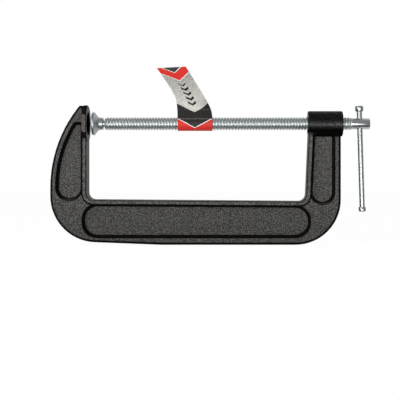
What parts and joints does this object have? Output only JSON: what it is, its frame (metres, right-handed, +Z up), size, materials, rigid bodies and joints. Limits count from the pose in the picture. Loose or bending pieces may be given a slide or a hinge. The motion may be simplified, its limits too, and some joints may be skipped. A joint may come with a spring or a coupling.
{
  "type": "c clamp",
  "caption": "Cast C clamp with pocketed, flanged frame, plated screw spindle, swivel pad, sliding tommy bar and a card hang tag.",
  "frame": {"origin": "on the spine's underside, under the middle of the clamp's length", "axes": "+X along the spindle from the anvil to the handle, +Y across the casting, +Z up from the spine to the spindle"},
  "size_m": [0.3182, 0.033, 0.177],
  "materials": {
    "casting_paint": "black satin paint over a fine cast grain",
    "zinc_plate": "bright zinc plate",
    "spring_steel": "oiled spring steel",
    "tag_card": "coated card with a printed pattern"
  },
  "bodies": {
    "frame": {"frame": "casting_paint", "hang_tag": "tag_card"},
    "pad_ring": {"pad_snap_ring": "spring_steel"},
    "spindle": {"spindle": "zinc_plate"},
    "swivel_pad": {"swivel_pad": "zinc_plate"},
    "tommy_bar": {"tommy_bar": "zinc_plate", "tommy_bar_cap_upper": "zinc_plate", "tommy_bar_cap_lower": "zinc_plate"}
  },
  "joints": [
    {"name": "spindle_travel", "type": "slide", "parent": "frame", "child": "pad_ring", "axis": [1, 0, 0], "range_m": [-0.003, 0.199], "deforming": ["hang_tag"]},
    {"name": "spindle_turn", "type": "hinge", "parent": "pad_ring", "child": "spindle", "pos_m": [-0.1117, 0, 0.1204], "axis": [1, 0, 0], "range_deg": [-360, 23880]},
    {"name": "pad_tilt", "type": "hinge", "parent": "pad_ring", "child": "swivel_pad", "pos_m": [-0.1117, 0, 0.1204], "axis": [0, 1, 0], "range_deg": [-5, 5]},
    {"name": "bar_slide", "type": "slide", "parent": "spindle", "child": "tommy_bar", "axis": [-0.0297, 0, 0.9996], "range_m": [-0.006, 0.0766]}
  ],
  "couplings": [
    {"joint": "spindle_turn", "follows": "spindle_travel", "rad_per_m": 2094.4}
  ]
}
